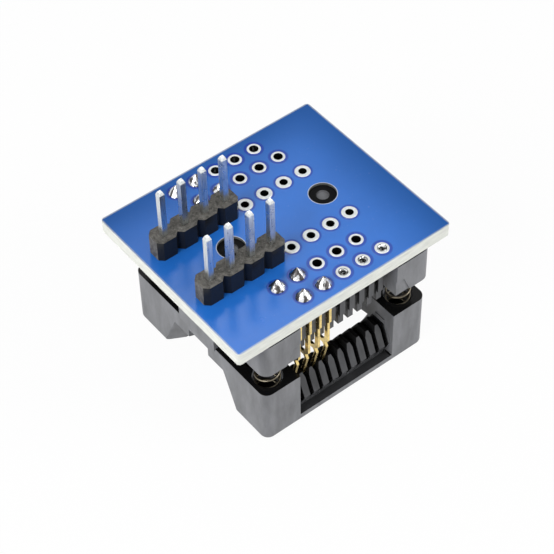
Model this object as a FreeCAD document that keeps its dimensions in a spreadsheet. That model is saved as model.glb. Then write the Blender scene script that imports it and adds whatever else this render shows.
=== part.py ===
# Adapter that holds a small surface-mount chip in a spring-loaded open-top test socket and brings
# its eight leads out to two four-pin headers. It stands as pictured, on the face of the socket's
# cover, with the header pins up: X runs along the rows of contacts, -Y is the side in the
# foreground, Z = 0 is the cover's face and the origin lies under the middle of the board.
import FreeCAD, Part
import math
import os
import re
import Sketcher

# Counts: contact positions and fitted contacts on each side, header holes and fitted pins in each
# row, turns of a spring and straight lengths that make up one turn
POSITIONS = 10
FITTED = 4
HEADER_HOLES = 8
HEADER_PINS = 4
SPRING_TURNS = 6
SPRING_SIDES = 10

# Driving dimensions in millimetres
SIZES = {
    # Printed circuit board
    "board_length": 27.3,
    "board_overhang": 0.05,
    "board_thickness": 1.6,
    "board_corner": 0.4,
    # Two rows of holes on the board for the headers
    "header_pitch": 2.54,
    "header_row_gap": 7.62,
    "first_hole_margin": 2.57,
    "header_hole": 0.95,
    # Headers
    "housing_width": 2.36,
    "housing_offset": 0.1,
    "housing_height": 2.54,
    "housing_notch": 0.5,
    "pin_side": 0.64,
    "pin_above": 6.05,
    "pin_below": 1.3,
    "pin_taper": 0.35,
    "pin_tip": 0.38,
    "pin_clearance": 0.02,
    "pin_solder_width": 1.5,
    "pin_solder_height": 0.9,
    # Staggered holes for the socket's contacts, and the solder on them
    "socket_offset": 0.35,
    "contact_pitch": 1.27,
    "leg_inset": 1.84,
    "row_step": 2.54,
    "socket_hole": 1.05,
    "solder_foot": 1.53,
    "solder_height": 1.15,
    "solder_point": 0.24,
    # Bosses of the socket in the board's two large holes
    "boss_spacing": 11.9,
    "boss_hole": 3.0,
    "boss_clearance": 0.07,
    "boss_recess": 0.25,
    "boss_shoulder": 0.65,
    "dimple_size": 1.35,
    "dimple_depth": 0.15,
    # Socket base
    "base_standoff": 0.25,
    "base_length": 21.9,
    "base_width": 23.0,
    "base_corner": 1.1,
    "block_height": 4.45,
    "comb_margin": 0.435,
    "comb_depth": 2.27,
    "fin_clearance": 0.14,
    "fin_setback": 1.1,
    "fin_rise": 0.8,
    "fin_line": 3.1,
    "fin_lip": 0.08,
    "fin_toe_setback": 0.28,
    "fin_toe": 1.4,
    "trough_width": 2.2,
    "trough_spare": 0.75,
    "panel_depth": 0.12,
    "panel_height": 2.1,
    "panel_top": 0.95,
    "panel_foot": 1.8,
    "body_width": 11.2,
    "body_drop": 2.3,
    "seat_margin": 0.3,
    "seat_width": 6.8,
    "seat_drop": 2.2,
    "seat_recess_width": 4.2,
    "seat_recess_depth": 0.5,
    # Contacts
    "contact_thickness": 0.3,
    "contact_width": 0.5,
    "lever_width": 0.36,
    "slot_clearance": 0.1,
    "slot_spare": 0.3,
    "strip_setback": 0.98,
    "strip_step": 0.25,
    "strip_heel": 0.6,
    "tail_room": 0.1,
    "bend_room": 0.25,
    "arm_run": 1.8,
    "arm_dip": 0.3,
    "leg_room": 0.02,
    "tip_gap": 0.06,
    # Cover
    "cover_inset_end": 0.15,
    "cover_inset_side": 0.2,
    "cover_height": 7.35,
    "cover_corner": 1.0,
    "cover_edge": 0.45,
    "press_travel": 2.5,
    "press_clearance": 0.85,
    "window_margin": 0.385,
    "sill_height": 1.0,
    "finger_root": 1.0,
    "finger_toe": 0.3,
    "finger_toe_height": 2.8,
    "finger_top": 1.4,
    "finger_tip_width": 0.35,
    "finger_taper": 0.7,
    "comb_height": 5.6,
    "comb_thickness": 1.45,
    "chip_window_width": 10.6,
    "end_wall": 1.2,
    "notch_reach": 2.4,
    "corner_block": 4.3,
    # Finger scoops at both ends of the cover
    "scoop_mouth": 12.8,
    "scoop_roof": 8.4,
    "scoop_height": 5.05,
    "throat_height": 4.2,
    "throat_roof": 7.0,
    "scoop_depth": 2.0,
    "cavity_height": 3.4,
    "cavity_eave": 0.7,
    "cavity_width": 14.7,
    "cavity_end_width": 11.2,
    "notch_width": 3.3,
    "bridge_height": 1.15,
    # Catches that hold the cover on
    "latch_width": 6.0,
    "latch_thickness": 1.2,
    "latch_clearance": 0.15,
    "latch_root": 0.2,
    "hook_reach": 0.6,
    "hook_height": 0.85,
    "catch_height": 1.0,
    "catch_gap": 0.05,
    # Springs
    "spring_inset_end": 2.05,
    "spring_inset_side": 2.23,
    "spring_size": 2.8,
    "spring_wire": 0.25,
    "well_clearance": 0.2,
    "cover_well": 2.6,
    "base_well": 1.5,
}

# Places worked out from the driving dimensions
PLACES = {
    "ground": "0",
    "middle_line": "0",
    "block_bottom": "cover_height + press_travel + press_clearance",
    "base_top": "block_bottom + block_height",
    "board_bottom": "base_top + base_standoff",
    "board_top": "board_bottom + board_thickness",
    "board_width": "base_width + 2 * board_overhang",
    "pin_top": "board_top + housing_height + pin_above",
    "first_hole": "first_hole_margin - board_length / 2",
    "outer_row": "base_width / 2 - leg_inset",
    "inner_row": "outer_row - row_step",
    "contact_span": f"{POSITIONS - 1} * contact_pitch + contact_thickness",
    "comb_length": "contact_span + 2 * comb_margin",
    "window_length": "contact_span + 2 * window_margin",
    "fin_bottom": "block_bottom + fin_rise",
    "trough_floor": "board_bottom - pin_below - trough_spare",
    "body_bottom": "block_bottom - body_drop",
    "seat_level": "body_bottom - seat_drop",
    "seat_length": "comb_length - 2 * seat_margin",
    "fin_gap": "contact_thickness + 2 * fin_clearance",
    "slot_width": "contact_thickness + 2 * slot_clearance",
    "slot_floor": "lever_end - press_travel - slot_spare",
    "cover_length": "base_length - 2 * cover_inset_end",
    "cover_width": "base_width - 2 * cover_inset_side",
    "spring_spacing_long": "cover_length - 2 * spring_inset_end",
    "spring_spacing_wide": "cover_width - 2 * spring_inset_side",
    "strip_line": "base_width / 2 - strip_setback",
    "tail_level": "base_top - contact_width - tail_room",
    "strip_bend": "fin_bottom + contact_width + bend_room",
    "arm_level": "body_bottom",
    "lever_end": "comb_height - finger_taper",
    "tip_level": "seat_level - tip_gap - contact_width / 2",
    "finger_top_line": "cover_width / 2 - finger_top",
    "comb_back_line": "finger_top_line - comb_thickness",
    "cover_well_floor": "cover_height - cover_well",
    "base_well_roof": "block_bottom + base_well",
    "latch_face": "base_length / 2",
    "catch_top": "block_bottom + catch_height",
    "hook_bottom": "catch_top + catch_gap",
}

SIDES = {"front": -1, "back": 1}
ENDS = {"left": -1, "right": 1}
ALONG_X = FreeCAD.Rotation(FreeCAD.Vector(1, 1, 1), 120)
ALONG_Y = FreeCAD.Rotation(FreeCAD.Vector(1, 0, 0), 90)
ALONG_Y_TURNED = FreeCAD.Rotation(FreeCAD.Vector(1, 0, 0), -90)

# Millimetres within which an edge counts as upright or flat, and the shortest upright edge rounded
EXACT = 1e-6
SHORTEST_EDGE = 0.1

document = FreeCAD.newDocument("programming_adapter")
sheet = document.addObject("Spreadsheet::Sheet", "dims")
places = document.addObject("Spreadsheet::Sheet", "places")
nodes = {}


def expand(text):
    """Write the sheet's name before each size and place that an expression names."""
    def named(word):
        if word[0] in SIZES:
            return f"dims.{word[0]}"
        if word[0] in PLACES:
            return f"places.{word[0]}"
        return word[0]
    return re.sub(r"[a-z][a-z_]+", named, text)


def fill_sheets():
    """Put the driving dimensions in one sheet and the places worked out from them in another."""
    for row, (alias, size) in enumerate(SIZES.items(), start=1):
        sheet.set(f"A{row}", alias)
        sheet.set(f"B{row}", str(size))
        sheet.setAlias(f"B{row}", alias)
    for row, alias in enumerate(PLACES, start=1):
        places.set(f"A{row}", alias)
        places.setAlias(f"B{row}", alias)
    document.recompute()
    for row, text in enumerate(PLACES.values(), start=1):
        places.set(f"B{row}", "=" + expand(text).replace("places.", ""))
    document.recompute()


def number(alias):
    """Read a size or a place back as a plain number."""
    source = sheet if alias in SIZES else places
    return float(source.get(alias))


def bind(thing, prop, text):
    """Give a property an expression over the named sizes and places."""
    thing.setExpression(prop, expand(text))


def side_span(sign, near, far):
    """Order two distances from the middle as low and high on one side of it."""
    if sign > 0:
        return (near, far)
    return (f"-({far})", f"-({near})")


def lengthwise(way, distance):
    """Place at a distance from the socket's middle towards one end."""
    return f"socket_offset + {way} * ({distance})"


def end_span(way, near, far):
    """Order two distances from the socket's middle as low and high towards one end."""
    span = (lengthwise(way, near), lengthwise(way, far))
    return span if way > 0 else span[::-1]


def middle_span(length):
    """A length shared out to both sides of the socket's middle."""
    return (f"socket_offset - {length} / 2", f"socket_offset + {length} / 2")


def block(label, x, y, z):
    """Box between three pairs of places."""
    made = document.addObject("Part::Box", label)
    for prop, axis, (low, high) in (("Length", "x", x), ("Width", "y", y), ("Height", "z", z)):
        bind(made, prop, f"({high}) - ({low})")
        bind(made, f"Placement.Base.{axis}", low)
    return made


def rod(label, x, y, z, diameter):
    """Upright cylinder."""
    made = document.addObject("Part::Cylinder", label)
    bind(made, "Radius", f"({diameter}) / 2")
    bind(made, "Height", f"({z[1]}) - ({z[0]})")
    bind(made, "Placement.Base.x", x)
    bind(made, "Placement.Base.y", y)
    bind(made, "Placement.Base.z", z[0])
    return made


def join(label, parts):
    """Parts fused into one solid."""
    made = document.addObject("Part::MultiFuse", label)
    made.Shapes = parts
    made.Refine = True
    return made


def cut(label, whole, tool):
    """What is left of a part when a tool is taken out of it."""
    made = document.addObject("Part::Cut", label)
    made.Base = whole
    made.Tool = tool
    made.Refine = True
    return made


def group(label, parts):
    """Parts kept apart in one node."""
    made = document.addObject("Part::Compound", label)
    made.Links = parts
    return made


def draw_outline(sketch, points):
    """Closed outline whose corners are held at named places.

    Its corners start on a parabola, where no three of them lie in line, and the expressions then
    move them.
    """
    count = len(points)
    first = sketch.GeometryCount
    ends = [first + corner for corner in range(count)]
    for here, following in zip(ends, ends[1:] + ends[:1]):
        start = FreeCAD.Vector(here, here * here, 0)
        end = FreeCAD.Vector(following, following * following, 0)
        sketch.addGeometry(Part.LineSegment(start, end), False)
    for here, following in zip(ends, ends[1:] + ends[:1]):
        sketch.addConstraint(Sketcher.Constraint("Coincident", here, 2, following, 1))
    for here, (across, up) in zip(ends, points):
        for kind, name, text, start in (
            ("DistanceX", "across", across, here),
            ("DistanceY", "up", up, here * here),
        ):
            index = sketch.addConstraint(Sketcher.Constraint(kind, -1, 1, here, 1, float(start)))
            sketch.renameConstraint(index, f"{name}{here}")
            bind(sketch, f"Constraints.{name}{here}", text)


def prism(label, points, turn, low, high):
    """Outline pulled along its own normal from one place to another."""
    sketch = document.addObject("Sketcher::SketchObject", f"{label}_outline")
    draw_outline(sketch, points)
    sketch.Placement = FreeCAD.Placement(FreeCAD.Vector(), turn)
    made = document.addObject("Part::Extrusion", label)
    made.Base = sketch
    made.DirMode = "Normal"
    made.Solid = True
    bind(made, "LengthFwd", high)
    bind(made, "LengthRev", f"-({low})")
    return made


def start_sketch(body, label, height):
    """Empty sketch on the body's own ground plane, lifted to a height."""
    ground = [plane for plane in body.Origin.OriginFeatures if plane.Role == "XY_Plane"][0]
    sketch = body.newObject("Sketcher::SketchObject", label)
    sketch.AttachmentSupport = [(ground, "")]
    sketch.MapMode = "FlatFace"
    bind(sketch, "AttachmentOffset.Base.z", height)
    return sketch


def draw_circles(sketch, circles):
    """Circles given by the places of their centres and their diameters.

    They start at counted places, a short way apart, and the expressions then move them.
    """
    upright = FreeCAD.Vector(0, 0, 1)
    start_radius = 0.25
    for index, (across, up, diameter) in enumerate(circles):
        centre = FreeCAD.Vector(index + 1, index + 1, 0)
        sketch.addGeometry(Part.Circle(centre, upright, start_radius), False)
        for kind, name, text in (("DistanceX", "across", across), ("DistanceY", "up", up)):
            made = sketch.addConstraint(
                Sketcher.Constraint(kind, -1, 1, index, 3, index + 1.0)
            )
            sketch.renameConstraint(made, f"{name}{index}")
            bind(sketch, f"Constraints.{name}{index}", text)
        made = sketch.addConstraint(Sketcher.Constraint("Diameter", index, 2 * start_radius))
        sketch.renameConstraint(made, f"size{index}")
        bind(sketch, f"Constraints.size{index}", diameter)


def rectangle(x, y):
    """Corners of a rectangle between two pairs of places."""
    return [(x[0], y[0]), (x[1], y[0]), (x[1], y[1]), (x[0], y[1])]


def add_pad(body, label, sketch, height):
    """Sketch raised by a height."""
    pad = body.newObject("PartDesign::Pad", label)
    pad.Profile = sketch
    bind(pad, "Length", height)
    document.recompute()
    return pad


def add_pocket(body, label, sketch, depth):
    """Sketch sunk by a depth."""
    pocket = body.newObject("PartDesign::Pocket", label)
    pocket.Profile = sketch
    bind(pocket, "Length", depth)
    document.recompute()
    return pocket


def add_row(body, label, feature, sketch, length, count):
    """Repeat a feature along X."""
    pattern = body.newObject("PartDesign::LinearPattern", label)
    pattern.Originals = [feature]
    pattern.Direction = (sketch, ["H_Axis"])
    bind(pattern, "Length", length)
    pattern.Occurrences = count
    body.Tip = pattern
    document.recompute()
    return pattern


def upright_edges(shape):
    """Names of the straight edges that stand upright."""
    names = []
    for index, edge in enumerate(shape.Edges, start=1):
        box = edge.BoundBox
        if box.ZLength > SHORTEST_EDGE and box.XLength < EXACT and box.YLength < EXACT:
            names.append(f"Edge{index}")
    return names


def edges_at_height(shape, height):
    """Names of the edges that lie flat at one height."""
    names = []
    for index, edge in enumerate(shape.Edges, start=1):
        box = edge.BoundBox
        if abs(box.ZMin - height) < EXACT and abs(box.ZMax - height) < EXACT:
            names.append(f"Edge{index}")
    return names


def add_fillet(body, label, feature, edges, radius):
    """Edges rounded to a radius."""
    fillet = body.newObject("PartDesign::Fillet", label)
    fillet.Base = (feature, edges)
    bind(fillet, "Radius", radius)
    document.recompute()
    return fillet


def slab_body(label, x, y, z, corner):
    """Block with rounded upright corners, padded from a sketch."""
    body = document.addObject("PartDesign::Body", label)
    sketch = start_sketch(body, f"{label}_outline", z[0])
    draw_outline(sketch, rectangle(x, y))
    pad = add_pad(body, f"{label}_pad", sketch, f"({z[1]}) - ({z[0]})")
    rounded = add_fillet(body, f"{label}_corners", pad, upright_edges(pad.Shape), corner)
    return body, rounded


def contact_x(position):
    """Middle of a contact position along the socket, counted from the left."""
    return f"(socket_offset + ({position} - {(POSITIONS - 1) / 2}) * contact_pitch)"


def contact_row(side, position):
    """Row of a position's leg.

    The legs are staggered, inner and outer in turn, and the two sides are point-symmetric.
    """
    inner = (position % 2 == 0) == (side == "front")
    return "inner_row" if inner else "outer_row"


def hole_x(index):
    """Middle of a header hole along the board, counted from the left."""
    return f"(first_hole + {index} * header_pitch)"


def around(x, y, half_x, half_y):
    """Corners of a rectangle round a point."""
    return rectangle((f"{x} - {half_x}", f"{x} + {half_x}"), (f"{y} - {half_y}", f"{y} + {half_y}"))


def contact_pair(first):
    """Places of two neighbouring positions on both sides of the socket."""
    return [(contact_x(position), f"{sign} * {contact_row(side, position)}")
            for side, sign in SIDES.items() for position in (first, first + 1)]


def make_board():
    """Board with two header rows, four staggered contact rows and two boss holes.

    The empty holes are round; those that solder and legs fill are drawn as the room the leg takes.
    """
    x = ("-board_length / 2", "board_length / 2")
    y = ("-board_width / 2", "board_width / 2")
    board, _ = slab_body("circuit_board", x, y, ("board_bottom", "board_top"), "board_corner")
    rows = [f"{sign} * header_row_gap / 2" for sign in SIDES.values()]
    drilled = HEADER_HOLES - HEADER_PINS
    empty = POSITIONS - FITTED
    pin_half = "(pin_side / 2 + pin_clearance)"
    leg_x = "(contact_thickness / 2 + leg_room)"
    leg_y = "(contact_width / 2 + leg_room)"
    steps = [
        ("header_holes", [(hole_x(HEADER_PINS), row, "header_hole") for row in rows], [],
         f"{drilled - 1} * header_pitch", drilled),
        ("pin_holes", [], [around(hole_x(0), row, pin_half, pin_half) for row in rows],
         f"{HEADER_PINS - 1} * header_pitch", HEADER_PINS),
        ("contact_holes", [(across, up, "socket_hole") for across, up in contact_pair(FITTED)], [],
         f"{empty - 2} * contact_pitch", empty // 2),
        ("leg_holes", [], [around(across, up, leg_x, leg_y) for across, up in contact_pair(0)],
         f"{FITTED - 2} * contact_pitch", FITTED // 2),
        ("boss_holes", [("socket_offset - boss_spacing / 2", "middle_line", "boss_hole")], [],
         "boss_spacing", 2),
    ]
    for label, circles, outlines, length, count in steps:
        sketch = start_sketch(board, label, "board_top")
        draw_circles(sketch, circles)
        for outline in outlines:
            draw_outline(sketch, outline)
        pocket = add_pocket(board, f"{label}_first", sketch, "board_thickness")
        add_row(board, f"{label}_row", pocket, sketch, length, count)
    nodes["circuit_board"] = board


def make_header(side, sign):
    """Header strip, notched between positions, with a square hole for each pin."""
    name = f"header_housing_{side}"
    housing = document.addObject("PartDesign::Body", name)
    row = f"{sign} * header_row_gap / 2"
    middle = f"{row} + housing_offset"
    half = "header_pitch / 2"
    wide = "housing_width / 2"
    notch = "housing_notch"
    corners = [
        (f"-{half}", f"-{wide} + {notch}"), (f"-{half} + {notch}", f"-{wide}"),
        (f"{half} - {notch}", f"-{wide}"), (half, f"-{wide} + {notch}"),
        (half, f"{wide} - {notch}"), (f"{half} - {notch}", wide),
        (f"-{half} + {notch}", wide), (f"-{half}", f"{wide} - {notch}"),
    ]
    outline = start_sketch(housing, f"{name}_outline", "board_top")
    draw_outline(outline, [(f"{hole_x(0)} + {across}", f"{middle} + {up}") for across, up in corners])
    pad = add_pad(housing, f"{name}_position", outline, "housing_height")
    add_row(housing, f"{name}_positions", pad, outline,
            f"{HEADER_PINS - 1} * header_pitch", HEADER_PINS)
    reach = "(pin_side / 2 + pin_clearance)"
    hole = start_sketch(housing, f"{name}_hole_outline", "board_top + housing_height")
    draw_outline(hole, rectangle((f"{hole_x(0)} - {reach}", f"{hole_x(0)} + {reach}"),
                                 (f"{row} - {reach}", f"{row} + {reach}")))
    pocket = add_pocket(housing, f"{name}_hole", hole, "housing_height")
    add_row(housing, f"{name}_holes", pocket, hole,
            f"{HEADER_PINS - 1} * header_pitch", HEADER_PINS)
    nodes[name] = housing


def taper(label, x, y, z, low_side, high_side):
    """Square-based block round one upright line, with its own width at its foot and its top."""
    made = document.addObject("Part::Wedge", label)
    made.Placement.Rotation = ALONG_Y
    for ends, width in (("", low_side), ("2", high_side)):
        for axis in ("X", "Z"):
            bind(made, f"{axis}{ends}min", f"-({width}) / 2")
            bind(made, f"{axis}{ends}max", f"({width}) / 2")
    made.Ymin = 0
    bind(made, "Ymax", f"({z[1]}) - ({z[0]})")
    bind(made, "Placement.Base.x", x)
    bind(made, "Placement.Base.y", y)
    bind(made, "Placement.Base.z", z[0])
    return made


def loft(label, sections):
    """Straight-sided solid through outlines."""
    made = document.addObject("Part::Loft", label)
    made.Sections = sections
    made.Solid = True
    made.Ruled = True
    return made


def make_pin(name, x, y):
    """Square pin with a chamfered end."""
    half = "pin_side / 2"
    shank = block(f"{name}_shank", (f"{x} - {half}", f"{x} + {half}"),
                  (f"{y} - {half}", f"{y} + {half}"),
                  ("board_bottom - pin_below", "pin_top - pin_taper"))
    end = taper(f"{name}_end", x, y, ("pin_top - pin_taper", "pin_top"), "pin_side", "pin_tip")
    nodes[name] = join(name, [shank, end])


def pin_solder(name, x, y):
    """Solder round a pin where it comes through under the board."""
    heap = taper(f"{name}_heap", x, y, ("board_bottom - pin_solder_height", "board_bottom"),
                 "pin_side + 2 * pin_clearance", "pin_solder_width")
    half = "(pin_side / 2)"
    pin = block(f"{name}_pin", (f"{x} - {half}", f"{x} + {half}"), (f"{y} - {half}", f"{y} + {half}"),
                ("board_bottom - pin_below", "board_bottom"))
    return cut(name, heap, pin)


def make_headers():
    """Both headers with their pins, and the solder on the pins under the board."""
    for side, sign in SIDES.items():
        make_header(side, sign)
        row = f"{sign} * header_row_gap / 2"
        for index in range(HEADER_PINS):
            make_pin(f"header_pin_{side}_{index + 1}", hole_x(index), row)
        joints = [pin_solder(f"pin_joint_{side}_{index}", hole_x(index), row)
                  for index in range(HEADER_PINS)]
        nodes[f"header_solder_{side}"] = group(f"header_solder_{side}", joints)


def ribbon(points, width):
    """Flat strip of one width along a bent line, in the plane across X, with mitred bends."""
    line = [FreeCAD.Vector(0, y, z) for y, z in points]
    across = FreeCAD.Vector(1, 0, 0)
    runs = [(end - start).normalize() for start, end in zip(line, line[1:])]
    edge = []
    for point, before, after in zip(line, runs[:1] + runs, runs + runs[-1:]):
        out = (across.cross(before) + across.cross(after)).normalize()
        edge.append((point, out * (width / 2 / out.dot(across.cross(after)))))
    corners = [point + out for point, out in edge]
    corners += [point - out for point, out in reversed(edge)]
    return Part.Face(Part.makePolygon(corners + corners[:1]))


def contact_lines(row):
    """Middle lines of a contact's strip and of its lever, for the +Y side of the socket.

    The strip drops from the leg between the base's fins, steps inwards, and turns at the heel
    into the arm that reaches the chip's lead; the lever leaves the heel for the cover's slot.
    """
    width = number("contact_width")
    leg = number(row)
    outer = number("strip_line")
    inner = outer - number("strip_step")
    tail = number("tail_level")
    bend = number("strip_bend")
    arm = number("arm_level")
    heel = number("strip_heel")
    arm_end = inner - number("arm_run")
    dip = arm - width - number("arm_dip")
    tip = number("tip_level")
    lead = number("seat_width") / 2
    body = number("body_width") / 2
    spring = [
        (leg, number("board_top")), (leg, tail), (outer, tail),
        (outer, bend), (inner, bend - width / 2), (inner, arm + heel),
        (inner - heel, arm), (arm_end, arm),
        (body, dip), (lead + width, tip), (lead - width / 2, tip),
    ]
    lever = [
        (inner - heel, arm + width / 2), (inner - width / 3, arm - heel),
        (number("finger_top_line") - width, number("lever_end")),
    ]
    return spring, lever


def make_contact(name, side, sign, position):
    """Stamped contact: leg, upright strip, arm to the chip's lead and lever in the cover's slot."""
    row = contact_row(side, position)
    spring, lever = contact_lines(row)
    strip = ribbon(spring, number("contact_width"))
    strip = strip.fuse(ribbon(lever, number("lever_width"))).removeSplitter()
    thickness = number("contact_thickness")
    stamped = strip.extrude(FreeCAD.Vector(thickness, 0, 0))
    if sign < 0:
        stamped = stamped.mirror(FreeCAD.Vector(), FreeCAD.Vector(0, 1, 0))
    contact = document.addObject("Part::Feature", name)
    contact.Shape = stamped.Solids[0]
    bind(contact, "Placement.Base.x", f"{contact_x(position)} - contact_thickness / 2")
    nodes[name] = contact


def make_leg_solder(name, x, y):
    """Pointed heap of solder over a leg that ends flush with the board."""
    cone = document.addObject("Part::Cone", name)
    bind(cone, "Radius1", "solder_foot / 2")
    bind(cone, "Radius2", "solder_point / 2")
    bind(cone, "Height", "solder_height")
    bind(cone, "Placement.Base.x", x)
    bind(cone, "Placement.Base.y", y)
    bind(cone, "Placement.Base.z", "board_top")
    nodes[name] = cone


def make_contacts():
    """Eight contacts, each with its own solder joint on the pin side of the board."""
    for side, sign in SIDES.items():
        for position in range(FITTED):
            make_contact(f"contact_{side}_{position + 1}", side, sign, position)
            make_leg_solder(f"contact_solder_{side}_{position + 1}", contact_x(position),
                            f"{sign} * {contact_row(side, position)}")


def base_slots():
    """Slots for the legs of all the positions, fitted or not."""
    tools = []
    for side, sign in SIDES.items():
        for position in range(POSITIONS):
            x = contact_x(position)
            across = (f"{x} - slot_width / 2", f"{x} + slot_width / 2")
            y = side_span(sign, "inner_row - contact_width", "base_width / 2")
            tools.append(block(f"leg_slot_{side}_{position}", across, y,
                               ("tail_level - contact_width", "base_top + base_standoff")))
    return tools


def fin_outline(sign):
    """Section of a fin: flush with the comb's back, a lip above, a set-back toe below."""
    front = "base_width / 2 - fin_setback"
    line = "block_bottom + fin_line"
    toe = "fin_bottom - fin_toe"
    points = [
        ("base_width / 2 - comb_depth", toe),
        (f"{front} - fin_toe_setback", toe),
        (f"{front} - fin_toe_setback", "fin_bottom"),
        (front, "fin_bottom"),
        (front, line),
        (f"{front} + fin_lip", line),
        (f"{front} + fin_lip", "base_top"),
        ("base_width / 2 - comb_depth", "base_top"),
    ]
    return [(f"{sign} * ({across})", up) for across, up in points]


def base_fins():
    """Fins that part the contacts, one between each two positions."""
    fins = []
    for side, sign in SIDES.items():
        for fin in range(POSITIONS - 1):
            left = f"{contact_x(fin)} + fin_gap / 2"
            right = f"{contact_x(fin + 1)} - fin_gap / 2"
            fins.append(prism(f"fin_{side}_{fin}", fin_outline(sign), ALONG_X, left, right))
    return fins


def side_cuts(side, sign):
    """Window of the comb, room for the contacts' arms and trough for a header's solder."""
    comb = middle_span("comb_length")
    row = f"{sign} * header_row_gap / 2"
    window = side_span(sign, "base_width / 2 - comb_depth", "base_width / 2 + base_standoff")
    relief = side_span(sign, "body_width / 2", "base_width / 2")
    trough = ("socket_offset - base_length / 2", f"{hole_x(HEADER_HOLES - 1)} + trough_width / 2")
    return [
        block(f"comb_window_{side}", comb, window, ("block_bottom", "base_top")),
        block(f"arm_relief_{side}", comb, relief, ("block_bottom", "fin_bottom")),
        block(f"solder_trough_{side}", trough,
              (f"{row} - trough_width / 2", f"{row} + trough_width / 2"), ("trough_floor", "base_top")),
    ]


def latch_cuts(end, way):
    """Channel for the cover's arm, and the room above the catch for its hook."""
    wide = ("-latch_width / 2 - latch_clearance", "latch_width / 2 + latch_clearance")
    arm = "latch_thickness + latch_clearance"
    hook = "latch_thickness + hook_reach + latch_clearance"
    outside = "latch_face + base_standoff"
    return [
        block(f"channel_{end}", end_span(way, f"latch_face - ({arm})", outside), wide,
              ("block_bottom", "base_top")),
        block(f"hook_room_{end}", end_span(way, f"latch_face - ({hook})", outside), wide,
              ("catch_top", "base_top")),
    ]


def corner_cuts(side, sign, end, way):
    """Spring well and shallow side panel of one corner block."""
    well = rod(f"base_well_{side}_{end}", lengthwise(way, "spring_spacing_long / 2"),
               f"{sign} * spring_spacing_wide / 2", ("block_bottom", "base_well_roof"),
               "spring_size + 2 * well_clearance")
    outline = [
        (lengthwise(way, "comb_length / 2"), "-block_bottom"),
        (lengthwise(way, "comb_length / 2"), "-(block_bottom + panel_height)"),
        (lengthwise(way, "comb_length / 2 + panel_top"), "-(block_bottom + panel_height)"),
        (lengthwise(way, "comb_length / 2 + panel_foot"), "-block_bottom"),
    ]
    low, high = side_span(sign, "base_width / 2 - panel_depth", "base_width / 2")
    return [well, prism(f"panel_{side}_{end}", outline, ALONG_Y_TURNED, low, high)]


def base_cuts():
    """Everything that is taken out of the base's block."""
    tools = base_slots()
    for side, sign in SIDES.items():
        tools += side_cuts(side, sign)
    for end, way in ENDS.items():
        tools += latch_cuts(end, way)
        for side, sign in SIDES.items():
            tools += corner_cuts(side, sign, end, way)
    return tools


def chip_seat():
    """Raised seat for the chip in the middle of the base, with a recess in its face."""
    seat = block("chip_seat_block", middle_span("seat_length"), ("-seat_width / 2", "seat_width / 2"),
                 ("seat_level", "body_bottom"))
    recess = block("seat_recess", middle_span("(seat_length - 2 * seat_recess_depth)"),
                   ("-seat_recess_width / 2", "seat_recess_width / 2"),
                   ("seat_level", "seat_level + seat_recess_depth"))
    return cut("chip_seat", seat, recess)


def make_base():
    """Socket base: corner blocks, comb, chip seat, bosses and catches."""
    blank, _ = slab_body("base_blank", middle_span("base_length"), ("-base_width / 2", "base_width / 2"),
                         ("block_bottom", "base_top"), "base_corner")
    carved = cut("base_carved", blank, join("base_cuts", base_cuts()))
    body = block("base_body", middle_span("comb_length"), ("-body_width / 2", "body_width / 2"),
                 ("body_bottom", "fin_bottom"))
    added = [carved, body, chip_seat()]
    added += base_fins()
    dimples = []
    boss_top = "board_top - boss_recess"
    for end, way in ENDS.items():
        place = f"socket_offset + {way} * boss_spacing / 2"
        added.append(rod(f"boss_{end}", place, "middle_line", ("base_top", boss_top),
                         "boss_hole - 2 * boss_clearance"))
        added.append(rod(f"boss_shoulder_{end}", place, "middle_line", ("base_top", "board_bottom"),
                         "boss_hole + 2 * boss_shoulder"))
        dimples.append(rod(f"dimple_{end}", place, "middle_line",
                           (f"{boss_top} - dimple_depth", boss_top), "dimple_size"))
    whole = join("base_whole", added)
    nodes["socket_base"] = cut("socket_base", whole, join("boss_dimples", dimples))


def cover_section():
    """Section across the comb: window sills, ramps of the fingers and the chip window's funnel."""
    half = "cover_width / 2"
    side = [
        (f"{half} + sill_height", "cover_height + sill_height"),
        (f"{half} + sill_height", "sill_height"),
        (f"{half} - finger_root", "sill_height"),
        (f"{half} - finger_toe", "finger_toe_height"),
        ("finger_top_line", "comb_height"),
        ("comb_back_line", "comb_height"),
        ("chip_window_width / 2", "ground"),
        ("chip_window_width / 2", "-sill_height"),
    ]
    return side + [(f"-({across})", up) for across, up in reversed(side)]


def cover_slots():
    """Slots of the fingers, each with a tapered mouth."""
    tools = []
    for side, sign in SIDES.items():
        y = side_span(sign, "chip_window_width / 2 - sill_height", "cover_width / 2 - finger_toe / 2")
        for position in range(POSITIONS):
            x = contact_x(position)
            tools.append(block(f"finger_slot_{side}_{position}",
                               (f"{x} - slot_width / 2", f"{x} + slot_width / 2"), y,
                               ("slot_floor", "comb_height")))
            mouth = "(contact_pitch - finger_tip_width) / 2"
            tools.append(prism(f"slot_mouth_{side}_{position}", [
                (f"{x} - slot_width / 2", "comb_height - finger_taper"),
                (f"{x} + slot_width / 2", "comb_height - finger_taper"),
                (f"{x} + {mouth}", "comb_height"), (f"{x} - {mouth}", "comb_height"),
            ], ALONG_Y, f"-({y[1]})", f"-({y[0]})"))
    return tools


def end_section(label, way, distance, points):
    """Outline across X at a distance from the socket's middle, mirrored to both sides."""
    section = document.addObject("Sketcher::SketchObject", label)
    mirrored = [(f"-({across})", up) for across, up in reversed(points)]
    draw_outline(section, points + mirrored)
    section.Placement = FreeCAD.Placement(FreeCAD.Vector(), ALONG_X)
    bind(section, "Placement.Base.x", lengthwise(way, distance))
    return section


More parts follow.
